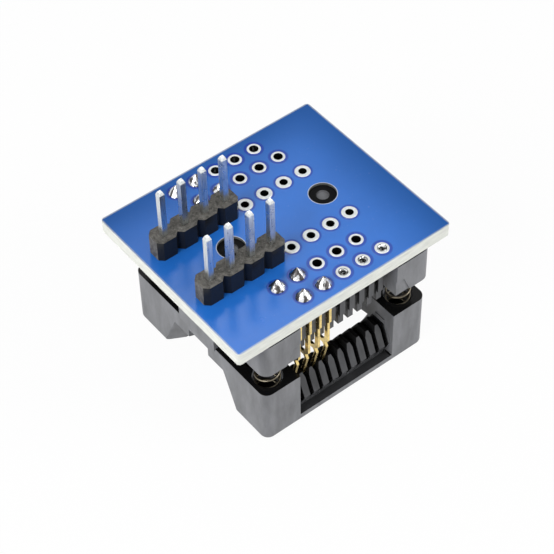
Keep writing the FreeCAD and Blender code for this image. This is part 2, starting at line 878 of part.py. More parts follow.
def scoop(end, way):
    """Finger scoop that narrows from its mouth in the end wall to a throat."""
    mouth = [("scoop_mouth / 2", "-sill_height"), ("scoop_mouth / 2", "ground"),
             ("scoop_roof / 2", "scoop_height")]
    throat = [("chip_window_width / 2", "-sill_height"), ("chip_window_width / 2", "ground"),
              ("throat_roof / 2", "throat_height")]
    sections = [
        end_section(f"scoop_mouth_{end}", way, "cover_length / 2", mouth),
        end_section(f"scoop_throat_{end}", way, "cover_length / 2 - scoop_depth", throat),
    ]
    return loft(f"scoop_{end}", sections)


def cavity(end, way):
    """Room behind the scoop, wider under its ceiling, that opens into the chip window."""
    foot = [("chip_window_width / 2", "-sill_height"), ("chip_window_width / 2", "ground")]
    ceiling = ("throat_roof / 2", "cavity_height")
    near = foot + [("cavity_width / 2", "cavity_height + cavity_eave"), ceiling]
    far = foot + [("cavity_end_width / 2", "cavity_height"), ceiling]
    sections = [
        end_section(f"cavity_near_{end}", way, "window_length / 2 - cover_inset_end", near),
        end_section(f"cavity_far_{end}", way, "cover_length / 2 - scoop_depth", far),
    ]
    return loft(f"cavity_{end}", sections)


def cover_cuts():
    """Everything that is taken out of the cover's block."""
    tools = cover_slots()
    low, high = middle_span("window_length")
    tools.append(prism("cover_section", cover_section(), ALONG_X, low, high))
    inside = "cover_width / 2 - corner_block"
    for end, way in ENDS.items():
        room = end_span(way, "window_length / 2", "cover_length / 2 - end_wall")
        notch = end_span(way, "cover_length / 2 - notch_reach", "cover_length / 2")
        tools.append(block(f"end_room_{end}", room, (f"-({inside})", inside),
                           ("comb_height", "cover_height")))
        tools += [scoop(end, way), cavity(end, way)]
        tools.append(block(f"end_notch_{end}", notch, ("-notch_width / 2", "notch_width / 2"),
                           ("cavity_height - cavity_eave", "cover_height - bridge_height")))
        for side, sign in SIDES.items():
            tools.append(rod(f"cover_well_{side}_{end}", lengthwise(way, "spring_spacing_long / 2"),
                             f"{sign} * spring_spacing_wide / 2",
                             ("cover_well_floor", "cover_height"),
                             "spring_size + 2 * well_clearance"))
    return tools


def latch(end, way):
    """Arm with an inward hook that hangs on the base's catch."""
    top = "(hook_bottom + hook_height)"
    base = "latch_face"
    inner = f"{base} - latch_thickness"
    points = [
        (base, "cover_height - latch_root"), (base, top), (inner, top),
        (f"{inner} - hook_reach", f"{top} - hook_height / 2"), (f"{inner} - hook_reach", "hook_bottom"),
        (inner, "hook_bottom"), (inner, "cover_height - latch_root"),
    ]
    outline = [(lengthwise(way, across), up) for across, up in points]
    return prism(f"latch_{end}", outline, ALONG_Y, "-latch_width / 2", "latch_width / 2")


def make_cover():
    """Press-down cover, with its face on the ground."""
    blank, rounded = slab_body("cover_blank", middle_span("cover_length"),
                               ("-cover_width / 2", "cover_width / 2"),
                               ("ground", "cover_height"), "cover_corner")
    add_fillet(blank, "cover_face_edge", rounded, edges_at_height(rounded.Shape, 0), "cover_edge")
    carved = cut("cover_carved", blank, join("cover_cuts", cover_cuts()))
    latches = [latch(end, way) for end, way in ENDS.items()]
    nodes["socket_cover"] = join("socket_cover", [carved] + latches)


def make_spring(name, way, sign):
    """Coil spring of square wire between the wells of the cover and the base, in straight lengths."""
    half = number("spring_wire") / 2
    outer = number("spring_size") / 2
    inner = outer - 2 * half
    rise = number("base_well_roof") - number("cover_well_floor") - 2 * half
    steps = SPRING_TURNS * SPRING_SIDES
    rings = []
    for step in range(steps + 1):
        angle = 2 * math.pi * step / SPRING_SIDES
        height = rise * step / steps + half
        rings.append([FreeCAD.Vector(radius * math.cos(angle), radius * math.sin(angle), height + up)
                      for radius, up in ((inner, -half), (outer, -half), (outer, half), (inner, half))])
    outlines = [rings[0], rings[-1]]
    for here, following in zip(rings, rings[1:]):
        for corner in range(4):
            beside = (corner + 1) % 4
            outlines.append([here[corner], here[beside], following[beside]])
            outlines.append([here[corner], following[beside], following[corner]])
    faces = [Part.Face(Part.makePolygon(points + points[:1])) for points in outlines]
    coil = document.addObject("Part::Feature", name)
    coil.Shape = Part.makeSolid(Part.makeShell(faces))
    bind(coil, "Placement.Base.x", lengthwise(way, "spring_spacing_long / 2"))
    bind(coil, "Placement.Base.y", f"{sign} * spring_spacing_wide / 2")
    bind(coil, "Placement.Base.z", "cover_well_floor")
    nodes[name] = coil


def make_springs():
    """One spring in each corner of the socket."""
    for side, sign in SIDES.items():
        for end, way in ENDS.items():
            make_spring(f"spring_{side}_{end}", way, sign)


def check_and_write():
    """Stop at anything that failed, and write one file for each piece."""
    document.recompute()
    for thing in document.Objects:
        if "Invalid" in thing.State or "Error" in thing.State:
            raise RuntimeError(f"{thing.Label} failed: {thing.State}")
    os.makedirs("parts", exist_ok=True)
    for name, thing in nodes.items():
        shape = thing.Shape
        if shape.isNull() or not shape.isValid() or not shape.Solids:
            raise RuntimeError(f"{name} has no valid solid")
        thing.Label = name
    for name, thing in nodes.items():
        thing.Shape.exportStep(f"parts/{name}.step")
        print(f"{name}: {len(thing.Shape.Solids)} solids, {thing.Shape.Volume:.2f} mm3")


fill_sheets()
make_board()
make_headers()
make_contacts()
make_base()
make_cover()
make_springs()
check_and_write()
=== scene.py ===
# Dresses the chip programming adapter for a studio picture: finishes for its board, sockets, headers
# and contacts, the plated holes, solder and coil springs as pieces of their own, and a pale stage.
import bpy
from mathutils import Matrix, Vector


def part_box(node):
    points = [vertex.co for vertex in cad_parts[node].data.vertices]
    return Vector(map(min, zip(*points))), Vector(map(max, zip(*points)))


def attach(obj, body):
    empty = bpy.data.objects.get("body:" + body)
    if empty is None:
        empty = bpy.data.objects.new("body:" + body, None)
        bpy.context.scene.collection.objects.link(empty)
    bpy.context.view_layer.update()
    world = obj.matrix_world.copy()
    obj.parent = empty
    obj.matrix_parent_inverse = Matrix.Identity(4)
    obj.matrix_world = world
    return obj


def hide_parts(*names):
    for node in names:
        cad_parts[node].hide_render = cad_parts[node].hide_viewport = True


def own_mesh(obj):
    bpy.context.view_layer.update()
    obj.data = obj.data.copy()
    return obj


bl_info = {
    "name": "Chip Programming Adapter",
    "version": (1, 0, 0),
    "blender": (4, 5, 0),
    "location": "View3D > Sidebar > Adapter",
    "description": "Finishes, solder, plated holes, springs and stage for a chip programming adapter",
    "category": "Object",
}

import math
import random

import bpy
from mathutils import Matrix, Vector

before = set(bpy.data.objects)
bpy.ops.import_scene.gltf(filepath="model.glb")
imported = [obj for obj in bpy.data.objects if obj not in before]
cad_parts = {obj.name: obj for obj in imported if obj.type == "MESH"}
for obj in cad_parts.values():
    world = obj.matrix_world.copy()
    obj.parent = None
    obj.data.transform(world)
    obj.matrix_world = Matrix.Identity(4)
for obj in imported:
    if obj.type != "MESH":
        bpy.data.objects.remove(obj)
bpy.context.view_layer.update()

MM = 0.001
BODY = "adapter"
BOARD_LOW, BOARD_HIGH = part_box("circuit_board")
BASE_LOW, BASE_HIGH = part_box("socket_base")


def hole_row(first, second, count):
    """Row of holes in millimetres: first hole, spacing, number of holes, distance from the middle.

    It is found from the nodes that stand in its first two holes.
    """
    here, there = ((low + high) / 2 / MM for low, high in (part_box(first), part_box(second)))
    return here.x, there.x - here.x, count, here.y


SIDES = ("front", "back")
HEADER_ROWS = [hole_row(f"header_pin_{side}_1", f"header_pin_{side}_2", 8) for side in SIDES]
# The contacts' legs stand in two staggered rows a side, so every other one is in the same row
SOCKET_ROWS = [
    hole_row(f"contact_solder_{side}_{start}", f"contact_solder_{side}_{start + 2}", 5)
    for side in SIDES for start in (1, 2)
]
# The two large holes lie either side of the middle of the socket
BOSS_SPACING = 11.9
BOSSES = ((BASE_LOW.x + BASE_HIGH.x) / 2 / MM - BOSS_SPACING / 2, BOSS_SPACING, 2, 0.0)
# Radii of the drilled holes in millimetres
HEADER_BORE = 0.475
SOCKET_BORE = 0.525
BOSS_BORE = 1.52
# Holes at the left of a row that hold a pin or a leg
FILLED_HEADER_HOLES = 4
FILLED_SOCKET_HOLES = 2
# Outer front row, counted from 0, whose empty holes took some solder as well
SPLASHED_ROW = 1

# Places in the socket in millimetres: half the length of the chip window with its combs, the back of
# the outer wall, a level just over the window's sill, and one that only the two bosses reach
WINDOW_END = 6.4
WALL_BACK = BASE_HIGH.y / MM - 0.3
SILL_LEVEL = 1.4
BOSS_LEVEL = BASE_HIGH.z / MM - 0.45

MATH = "ShaderNodeMath"
MIX = "ShaderNodeMix"
NOISE = "ShaderNodeTexNoise"
RANGE = "ShaderNodeMapRange"
SPLIT = "ShaderNodeSeparateXYZ"
VECTOR = "ShaderNodeVectorMath"
# Inputs of a mix of two colours, and its output
SHARE = 0
UNDER = 6
OVER = 7
MIXED = 2


def linear(code):
    """Linear colour of an sRGB hex code."""
    channels = [int(code[place:place + 2], 16) / 255 for place in (1, 3, 5)]
    return tuple(c / 12.92 if c <= 0.04045 else ((c + 0.055) / 1.055) ** 2.4 for c in channels)


def opaque(colour, strength=1.0):
    """Colour of a property for a node's socket, darkened or lightened."""
    return (*(min(1.0, channel * strength) for channel in colour), 1.0)


class BoardFinish(bpy.types.PropertyGroup):
    """Colours and sizes of the board's surface."""

    mask: bpy.props.FloatVectorProperty(
        name="Solder mask", description="Colour of the lacquer over bare laminate",
        subtype="COLOR", size=3, min=0, max=1, default=linear("#1F69C3"))
    mask_ring: bpy.props.FloatVectorProperty(
        name="Mask over copper", description="Colour of the lacquer where it runs up to a plated ring",
        subtype="COLOR", size=3, min=0, max=1, default=linear("#0C2F9C"))
    laminate: bpy.props.FloatVectorProperty(
        name="Laminate", description="Colour of the glass fibre at the sawn edge",
        subtype="COLOR", size=3, min=0, max=1, default=linear("#DFE1DA"))
    ring_width: bpy.props.FloatProperty(
        name="Header ring", description="Outside diameter of the rings round the header holes",
        subtype="DISTANCE", default=1.7 * MM)
    ring_hole: bpy.props.FloatProperty(
        name="Header ring's hole", description="Plated diameter of the header holes",
        subtype="DISTANCE", default=0.86 * MM)
    small_ring_width: bpy.props.FloatProperty(
        name="Socket ring", description="Outside diameter of the rings round the socket's holes",
        subtype="DISTANCE", default=1.53 * MM)
    small_ring_hole: bpy.props.FloatProperty(
        name="Socket ring's hole", description="Plated diameter of the socket's holes",
        subtype="DISTANCE", default=0.98 * MM)


class PlasticFinish(bpy.types.PropertyGroup):
    """Colours of the black mouldings."""

    # The grey stands for the black plastic as lit: painted light
    socket: bpy.props.FloatVectorProperty(
        name="Socket", description="Colour of the socket's glass-filled plastic",
        subtype="COLOR", size=3, min=0, max=1, default=linear("#717275"))
    header: bpy.props.FloatVectorProperty(
        name="Header", description="Colour of the header strips",
        subtype="COLOR", size=3, min=0, max=1, default=linear("#18191A"))
    header_top: bpy.props.FloatVectorProperty(
        name="Header top", description="Colour of the dusty top of the header strips",
        subtype="COLOR", size=3, min=0, max=1, default=linear("#5F5D59"))
    edge: bpy.props.FloatProperty(
        name="Edge radius", description="Softness of the moulded edges",
        subtype="DISTANCE", default=0.07 * MM)


class MetalFinish(bpy.types.PropertyGroup):
    """Colours of the metal parts."""

    gold: bpy.props.FloatVectorProperty(
        name="Gold", description="Colour of the contacts' flash of gold",
        subtype="COLOR", size=3, min=0, max=1, default=linear("#F2D78E"))
    tin: bpy.props.FloatVectorProperty(
        name="Tin", description="Colour of the tinned pins and rings",
        subtype="COLOR", size=3, min=0, max=1, default=linear("#EDF1F1"))
    solder: bpy.props.FloatVectorProperty(
        name="Solder", description="Colour of the solder",
        subtype="COLOR", size=3, min=0, max=1, default=linear("#E2E3E4"))
    flux: bpy.props.FloatVectorProperty(
        name="Flux", description="Colour of the burnt flux in the folds of the solder",
        subtype="COLOR", size=3, min=0, max=1, default=linear("#2F2723"))
    steel: bpy.props.FloatVectorProperty(
        name="Spring steel", description="Colour of the spring wire",
        subtype="COLOR", size=3, min=0, max=1, default=linear("#7C7566"))
    wire: bpy.props.FloatProperty(
        name="Spring wire", description="Thickness of the springs' wire",
        subtype="DISTANCE", default=0.25 * MM)
    turns: bpy.props.IntProperty(
        name="Spring turns", description="Number of turns in a spring", default=6, min=2)


class StageSettings(bpy.types.PropertyGroup):
    """Camera, lamps and backdrop."""

    camera_place: bpy.props.FloatVectorProperty(
        name="Camera place", description="Where the camera stands",
        subtype="TRANSLATION", size=3,
        default=(-76.2006 * MM, -99.6268 * MM, 151.1542 * MM))
    camera_turn: bpy.props.FloatVectorProperty(
        name="Camera turn", description="How the camera is turned",
        subtype="EULER", size=3,
        default=(math.radians(41.2998), math.radians(0.9201), math.radians(-38.4874)))
    lens: bpy.props.FloatProperty(
        name="Lens", description="Focal length in millimetres on a 36 mm sensor", default=117.01)
    sky_low: bpy.props.FloatProperty(
        name="Wall brightness", description="Brightness of the studio walls", default=1.0)
    sky_high: bpy.props.FloatProperty(
        name="Ceiling brightness", description="Brightness of the studio ceiling", default=0.35)
    key: bpy.props.FloatProperty(
        name="Key lamp", description="Power of the large lamp at the left", subtype="POWER",
        default=1.0)
    fill: bpy.props.FloatProperty(
        name="Fill lamp", description="Power of the lamp at the right", subtype="POWER", default=0.75)
    sheen: bpy.props.FloatProperty(
        name="Sheen lamp", description="Power of the small soft box mirrored in the board",
        subtype="POWER", default=0.06)


def add_node(tree, kind, inputs=(), out=0, **settings):
    """Add a node with its settings, feed its inputs with values or sockets, and return an output.

    The inputs are a tuple in their order, or a dictionary by their name or number.
    """
    node = tree.nodes.new(kind)
    for name, value in settings.items():
        setattr(node, name, value)
    for place, value in inputs.items() if isinstance(inputs, dict) else enumerate(inputs):
        if isinstance(value, bpy.types.NodeSocket):
            tree.links.new(value, node.inputs[place])
        else:
            node.inputs[place].default_value = value
    return node.outputs[out] if node.outputs else node


def new_material(name):
    """Empty material and its tree."""
    material = bpy.data.materials.new(name)
    material.use_nodes = True
    material.node_tree.nodes.clear()
    return material, material.node_tree


def millimetres(tree):
    """Object coordinates in millimetres."""
    return add_node(tree, VECTOR, {
        0: add_node(tree, "ShaderNodeTexCoord", out="Object"), "Scale": 1 / MM}, operation="SCALE")


def facing(tree):
    """How far a face looks along X, Y and Z, without its sign."""
    return add_node(tree, VECTOR, (add_node(tree, "ShaderNodeNewGeometry", out="Normal"),),
                    operation="ABSOLUTE")


def nearest_hole(tree, x, y, row):
    """Distance in millimetres to the nearest hole of a row."""
    first, spacing, count, side = row
    past = add_node(tree, MATH, (x, first), operation="SUBTRACT")
    step = add_node(tree, MATH, (past, spacing), operation="DIVIDE")
    step = add_node(tree, MATH, (step,), operation="ROUND")
    step = add_node(tree, MATH, (step, 0.0), operation="MAXIMUM")
    step = add_node(tree, MATH, (step, count - 1.0), operation="MINIMUM")
    centre = add_node(tree, MATH, (step, spacing, first), operation="MULTIPLY_ADD")
    hole = add_node(tree, "ShaderNodeCombineXYZ", (centre, side, 0.0))
    here = add_node(tree, "ShaderNodeCombineXYZ", (x, y, 0.0))
    return add_node(tree, VECTOR, (here, hole), "Value", operation="DISTANCE")


def lacquer(tree, finish, x, y, painted_shade_far_edges, halo):
    """Colour of the solder mask, and the cloudy pattern of its gloss."""
    place = millimetres(tree)
    cloud = add_node(tree, NOISE, {"Vector": place, "Scale": 1 / 5, "Detail": 6.0, "Roughness": 0.65})
    mask = add_node(tree, MIX, {
        SHARE: cloud, UNDER: opaque(finish.mask, 0.96), OVER: opaque(finish.mask, 1.24)}, MIXED,
        data_type="RGBA")
    # Painted shade towards the back and the right end of the board
    mask = add_node(tree, MIX, {
        SHARE: painted_shade_far_edges, UNDER: mask, OVER: opaque(finish.mask, 0.6)}, MIXED, data_type="RGBA")
    deep = add_node(tree, MATH, (halo, 0.75), operation="MULTIPLY")
    mask = add_node(tree, MIX, {SHARE: deep, UNDER: mask, OVER: opaque(finish.mask_ring)}, MIXED,
                    data_type="RGBA")
    # The drill frayed the lacquer round the two large holes
    rim = BOSS_BORE + 0.01
    frayed = add_node(tree, RANGE, {
        "Value": nearest_hole(tree, x, y, BOSSES), "From Min": rim, "From Max": rim + 0.08,
        "To Min": 0.7, "To Max": 0.0}, interpolation_type="SMOOTHSTEP")
    mask = add_node(tree, MIX, {SHARE: frayed, UNDER: mask, OVER: opaque(finish.laminate)}, MIXED,
                    data_type="RGBA")
    # Dust on the lacquer, its specks drawn larger than the real 0.02 mm so that they show
    specks = add_node(tree, NOISE, {"Vector": place, "Scale": 1 / 0.18, "Detail": 4.0})
    dust = add_node(tree, RANGE, {
        "Value": specks, "From Min": 0.7, "From Max": 0.8, "To Max": 0.15})
    mask = add_node(tree, MIX, {SHARE: dust, UNDER: mask, OVER: opaque(finish.laminate)}, MIXED,
                    data_type="RGBA")
    return mask, cloud


def glass_fibre(tree, finish, x, y):
    """Colour of the bare laminate, and the pattern of its layers."""
    # The layers of glass cloth, drawn coarser than the real 0.1 mm so that they show
    stretched = add_node(tree, VECTOR, (millimetres(tree), (0.5, 0.5, 6.0)), operation="MULTIPLY")
    layers = add_node(tree, NOISE, {"Vector": stretched, "Scale": 1.2, "Detail": 4.0})
    fibre = add_node(tree, MIX, {
        SHARE: add_node(tree, RANGE, {"Value": layers, "From Min": 0.35, "From Max": 0.7}),
        UNDER: opaque(finish.laminate), OVER: opaque(finish.laminate, 0.74)}, MIXED,
        data_type="RGBA")
    # Drill dust and the boss's own shadow keep the walls of the large holes dark
    drilled = add_node(tree, MATH, (nearest_hole(tree, x, y, BOSSES), BOSS_BORE),
                       operation="LESS_THAN")
    fibre = add_node(tree, MIX, {
        SHARE: add_node(tree, MATH, (drilled, 0.9), operation="MULTIPLY"),
        UNDER: fibre, OVER: opaque(finish.laminate, 0.06)}, MIXED, data_type="RGBA")
    return fibre, layers


def board_material(finish):
    """Blue solder mask on glass fibre laminate.

    The lacquer is glossy with a faint orange peel, and deeper where it laps on the copper of a ring.
    It stops short of the sawn edge, which shows pale glass fibre in thin layers.
    """
    material, tree = new_material("blue solder mask on glass fibre")
    place = millimetres(tree)
    x = add_node(tree, SPLIT, (place,))
    y = x.node.outputs["Y"]
    # The lacquer laps on copper as far as a millimetre from the middle of a plated hole
    near = nearest_hole(tree, x, y, HEADER_ROWS[0])
    for row in (*HEADER_ROWS[1:], *SOCKET_ROWS):
        near = add_node(tree, MATH, (near, nearest_hole(tree, x, y, row)), operation="MINIMUM")
    halo = add_node(tree, RANGE, {
        "Value": near, "From Min": 1.0, "From Max": 1.16, "To Min": 1.0, "To Max": 0.0},
        interpolation_type="SMOOTHSTEP")
    # Painted shade: the lacquer is darker and less glossy towards the back and the right end
    length_share = add_node(tree, MATH, (x, MM / BOARD_HIGH.x), operation="MULTIPLY")
    width_share = add_node(tree, MATH, (y, MM / BOARD_HIGH.y), operation="MULTIPLY")
    border = add_node(tree, MATH, (length_share, width_share, 0.4), operation="SMOOTH_MAX")
    painted_shade_far_edges = add_node(tree, RANGE, {
        "Value": border, "From Min": 0.45, "From Max": 1.1}, interpolation_type="SMOOTHSTEP")
    mask, cloud = lacquer(tree, finish, x, y, painted_shade_far_edges, halo)
    fibre, layers = glass_fibre(tree, finish, x, y)
    # The lacquer's border lies a little inside the saw cut
    inset = 0.15
    past_end = add_node(tree, MATH, (
        add_node(tree, MATH, (x,), operation="ABSOLUTE"), BOARD_HIGH.x / MM - inset),
        operation="GREATER_THAN")
    past_side = add_node(tree, MATH, (
        add_node(tree, MATH, (y,), operation="ABSOLUTE"), BOARD_HIGH.y / MM - inset),
        operation="GREATER_THAN")
    bare = add_node(tree, MATH, (past_end, past_side), operation="MAXIMUM")
    mask = add_node(tree, MIX, {
        SHARE: add_node(tree, MATH, (bare, 0.45), operation="MULTIPLY"), UNDER: mask, OVER: fibre},
        MIXED, data_type="RGBA")
    up = add_node(tree, SPLIT, (facing(tree),), "Z")
    sawn = add_node(tree, MATH, (up, 0.5), operation="LESS_THAN")
    tone = add_node(tree, MIX, {SHARE: sawn, UNDER: mask, OVER: fibre}, MIXED, data_type="RGBA")
    peel = add_node(tree, NOISE, {"Vector": place, "Scale": 1 / 0.8, "Detail": 2.0})
    lap = add_node(tree, MATH, (peel, halo), operation="ADD")
    height = add_node(tree, MATH, (lap, add_node(
        tree, MATH, (sawn, layers), operation="MULTIPLY")), operation="ADD")
    surface = add_node(tree, "ShaderNodeBsdfPrincipled", {
        "Base Color": tone, "IOR": 1.5,
        "Specular IOR Level": add_node(tree, MATH, (painted_shade_far_edges, -0.35, 0.5), operation="MULTIPLY_ADD"),
        "Roughness": add_node(tree, MATH, (sawn, 0.45, add_node(
            tree, MATH, (cloud, 0.12, 0.19), operation="MULTIPLY_ADD")), operation="MULTIPLY_ADD"),
        "Normal": add_node(tree, "ShaderNodeBump", {
            "Height": height, "Strength": 0.5, "Distance": 0.012 * MM})})
    add_node(tree, "ShaderNodeOutputMaterial", {"Surface": surface})
    return material


def socket_material(finish):
    """Black glass-filled polyetherimide, injection moulded.

    Faces that look sideways are painted grey, standing in for the light they catch, with streaks
    where the glass lies along the flow, and they are rougher. Faces that look up, such as the rim,
    and the faces inside the combs are painted black, standing in for shade.
    """
    material, tree = new_material("black glass-filled moulding")
    place = millimetres(tree)
    x = add_node(tree, SPLIT, (place,))
    y = x.node.outputs["Y"]
    z = x.node.outputs["Z"]
    along = add_node(tree, SPLIT, (facing(tree),), "Y")
    up = along.node.outputs["Z"]
    stretched = add_node(tree, VECTOR, (place, (0.9, 0.9, 0.25)), operation="MULTIPLY")
    flow = add_node(tree, NOISE, {"Vector": stretched, "Scale": 0.8, "Detail": 7.0, "Roughness": 0.62})
    # Painted light and shade: faces that look sideways are painted lit grey, faces that look up black
    upright_lit_share = add_node(tree, RANGE, {
        "Value": up, "From Min": 0.35, "From Max": 0.9, "To Min": 1.0, "To Max": 0.0},
        interpolation_type="SMOOTHSTEP")
    # The combs lie between the ends of the window and behind the outer wall
    in_window = add_node(tree, MATH, (
        add_node(tree, MATH, (x,), operation="ABSOLUTE"), WINDOW_END), operation="LESS_THAN")
    behind_wall = add_node(tree, MATH, (
        add_node(tree, MATH, (y,), operation="ABSOLUTE"), WALL_BACK), operation="LESS_THAN")
    comb = add_node(tree, MATH, (in_window, behind_wall), operation="MULTIPLY")
    # Painted shade inside the combs, a little lighter on faces that look out along Y
    side_on = add_node(tree, RANGE, {
        "Value": along, "From Min": 0.5, "From Max": 0.8, "To Min": 0.94, "To Max": 0.62})
    comb_painted_shade = add_node(tree, MATH, (comb, side_on), operation="MULTIPLY")
    grey = add_node(tree, MATH, (
        add_node(tree, MATH, (1.0, comb_painted_shade), operation="SUBTRACT"), upright_lit_share), operation="MULTIPLY")
    streaks = add_node(tree, RANGE, {"Value": flow, "From Min": 0.3, "From Max": 0.7})
    # The streaky grey is the black plastic painted as lit
    dull = add_node(tree, MIX, {
        SHARE: streaks, UNDER: opaque(finish.socket, 0.78), OVER: opaque(finish.socket, 1.3)}, MIXED,
        data_type="RGBA")
    tone = add_node(tree, MIX, {SHARE: grey, UNDER: opaque(finish.socket, 0.03), OVER: dull}, MIXED,
                    data_type="RGBA")
    # The print of the ejector pin in the middle of each boss is rubbed grey
    over_boss = add_node(tree, MATH, (z, BOSS_LEVEL), operation="GREATER_THAN")
    disc = add_node(tree, RANGE, {
        "Value": nearest_hole(tree, x, y, BOSSES), "From Min": 0.6, "From Max": 0.72,
        "To Min": 0.95, "To Max": 0.0})
    tone = add_node(tree, MIX, {
        SHARE: add_node(tree, MATH, (over_boss, disc), operation="MULTIPLY"), UNDER: tone,
        OVER: dull}, MIXED, data_type="RGBA")
    # Faces in the window lower than 1.4 mm, the sill among them, are drawn a little lighter
    low = add_node(tree, MATH, (z, SILL_LEVEL), operation="LESS_THAN")
    sill = add_node(tree, MATH, (low, in_window), operation="MULTIPLY")
    tone = add_node(tree, MIX, {
        SHARE: add_node(tree, MATH, (sill, 0.16), operation="MULTIPLY"), UNDER: tone, OVER: dull},
        MIXED, data_type="RGBA")
    # Sparks leave pits of about 0.05 mm, drawn at 0.12 mm so that they show
    pits = add_node(tree, NOISE, {"Vector": place, "Scale": 1 / 0.12, "Detail": 2.0})
    surface = add_node(tree, "ShaderNodeBsdfPrincipled", {
        "Base Color": tone, "IOR": 1.66,
        "Specular IOR Level": add_node(tree, MATH, (over_boss, -0.07, 0.1), operation="MULTIPLY_ADD"),
        "Roughness": add_node(tree, MATH, (grey, 0.22, add_node(
            tree, MATH, (flow, 0.16, 0.08), operation="MULTIPLY_ADD")), operation="MULTIPLY_ADD"),
        "Normal": add_node(tree, "ShaderNodeBump", {
            "Height": pits, "Strength": 0.4, "Distance": 0.015 * MM,
            "Normal": add_node(tree, "ShaderNodeBevel", (finish.edge,), samples=6)})})
    add_node(tree, "ShaderNodeOutputMaterial", {"Surface": surface})
    return material


def header_material(finish):
    """Black nylon header strip, snapped from a longer one.

    Moulded sides are smooth and near black. The top is dulled by flux and dust, and so are the ends,
    which are rough where the strip was snapped off.
    """
    material, tree = new_material("black nylon header")
    place = millimetres(tree)
    across = add_node(tree, SPLIT, (facing(tree),))
    up = across.node.outputs["Z"]
    patch = add_node(tree, NOISE, {"Vector": place, "Scale": 1 / 0.5, "Detail": 6.0, "Roughness": 0.75})
    grit = add_node(tree, NOISE, {"Vector": place, "Scale": 1 / 0.1, "Detail": 2.0})
    top = add_node(tree, RANGE, {"Value": up, "From Min": 0.6, "From Max": 0.95})
    end = add_node(tree, RANGE, {"Value": across, "From Min": 0.9, "From Max": 0.99})
    rough = add_node(tree, MATH, (top, end), operation="MAXIMUM")
    dusty = add_node(tree, MIX, {
        SHARE: add_node(tree, RANGE, {"Value": patch, "From Min": 0.4, "From Max": 0.62}),
        UNDER: opaque(finish.header_top, 0.38), OVER: opaque(finish.header_top, 1.25)}, MIXED,
        data_type="RGBA")
    sparkle = add_node(tree, RANGE, {"Value": grit, "From Min": 0.6, "From Max": 0.7, "To Max": 0.6})
    dusty = add_node(tree, MIX, {
        SHARE: sparkle, UNDER: dusty, OVER: opaque(finish.header_top, 3.0)}, MIXED, data_type="RGBA")
    tone = add_node(tree, MIX, {SHARE: rough, UNDER: opaque(finish.header), OVER: dusty}, MIXED,
                    data_type="RGBA")
    height = add_node(tree, MATH, (patch, rough), operation="MULTIPLY")
    height = add_node(tree, MATH, (grit, 0.2, height), operation="MULTIPLY_ADD")
    surface = add_node(tree, "ShaderNodeBsdfPrincipled", {
        "Base Color": tone, "IOR": 1.53, "Specular IOR Level": 0.2,
        "Roughness": add_node(tree, MATH, (rough, 0.3, 0.25), operation="MULTIPLY_ADD"),
        "Normal": add_node(tree, "ShaderNodeBump", {
            "Height": height, "Strength": 0.6, "Distance": 0.06 * MM,
            "Normal": add_node(tree, "ShaderNodeBevel", (finish.edge,), samples=6)})})
    add_node(tree, "ShaderNodeOutputMaterial", {"Surface": surface})
    return material


def drawn_material(name, colour, roughness):
    """Metal that was drawn through a die, such as a pin or spring wire.

    Fine scratches run along its length, and the tarnish on it is faint and cloudy.
    """
    material, tree = new_material(name)
    place = millimetres(tree)
    stretched = add_node(tree, VECTOR, (place, (10.0, 10.0, 0.6)), operation="MULTIPLY")
    scratches = add_node(tree, NOISE, {"Vector": stretched, "Scale": 1.0, "Detail": 3.0})
    cloud = add_node(tree, NOISE, {"Vector": place, "Scale": 1 / 0.5, "Detail": 4.0})
    tone = add_node(tree, MIX, {
        SHARE: add_node(tree, RANGE, {"Value": scratches, "From Min": 0.4, "From Max": 0.75}),
        UNDER: opaque(colour), OVER: opaque(colour, 0.6)}, MIXED, data_type="RGBA")
    surface = add_node(tree, "ShaderNodeBsdfPrincipled", {
        "Base Color": tone, "Metallic": 1.0,
        "Roughness": add_node(tree, MATH, (cloud, 0.14, roughness), operation="MULTIPLY_ADD"),
        "Normal": add_node(tree, "ShaderNodeBump", {
            "Height": scratches, "Strength": 0.5, "Distance": 0.012 * MM,
            "Normal": add_node(tree, "ShaderNodeBevel", (0.05 * MM,), samples=6)})})
    add_node(tree, "ShaderNodeOutputMaterial", {"Surface": surface})
    return material


def ring_material(metal):
    """Hot-air levelled tin on a copper ring.

    The ring itself is matt and nearly white. The barrel in the hole is bare metal that mirrors the
    dark below it, and its colour is painted dark as well, standing in for the shade in the hole.
    """
    material, tree = new_material("levelled tin on copper")
    cloud = add_node(tree, NOISE, {"Vector": millimetres(tree), "Scale": 1 / 0.35, "Detail": 4.0})
    up = add_node(tree, SPLIT, (facing(tree),), "Z")
    flat = add_node(tree, RANGE, {"Value": up, "From Min": 0.2, "From Max": 0.6})
    matt = add_node(tree, MIX, {
        SHARE: cloud, UNDER: opaque(metal.tin), OVER: opaque(metal.tin, 0.66)}, MIXED,
        data_type="RGBA")
    # Painted shade: faces that don't look up, the barrel's wall above all, take a darker tin
    tone = add_node(tree, MIX, {SHARE: flat, UNDER: opaque(metal.tin, 0.35), OVER: matt}, MIXED,
                    data_type="RGBA")
    surface = add_node(tree, "ShaderNodeBsdfPrincipled", {
        "Base Color": tone,
        "Metallic": add_node(tree, MATH, (flat, -0.65, 1.0), operation="MULTIPLY_ADD"),
        "Roughness": add_node(tree, MATH, (flat, 0.15, 0.22), operation="MULTIPLY_ADD"),
        "Normal": add_node(tree, "ShaderNodeBump", {
            "Height": cloud, "Strength": 0.5, "Distance": 0.02 * MM})})
    add_node(tree, "ShaderNodeOutputMaterial", {"Surface": surface})
    return material


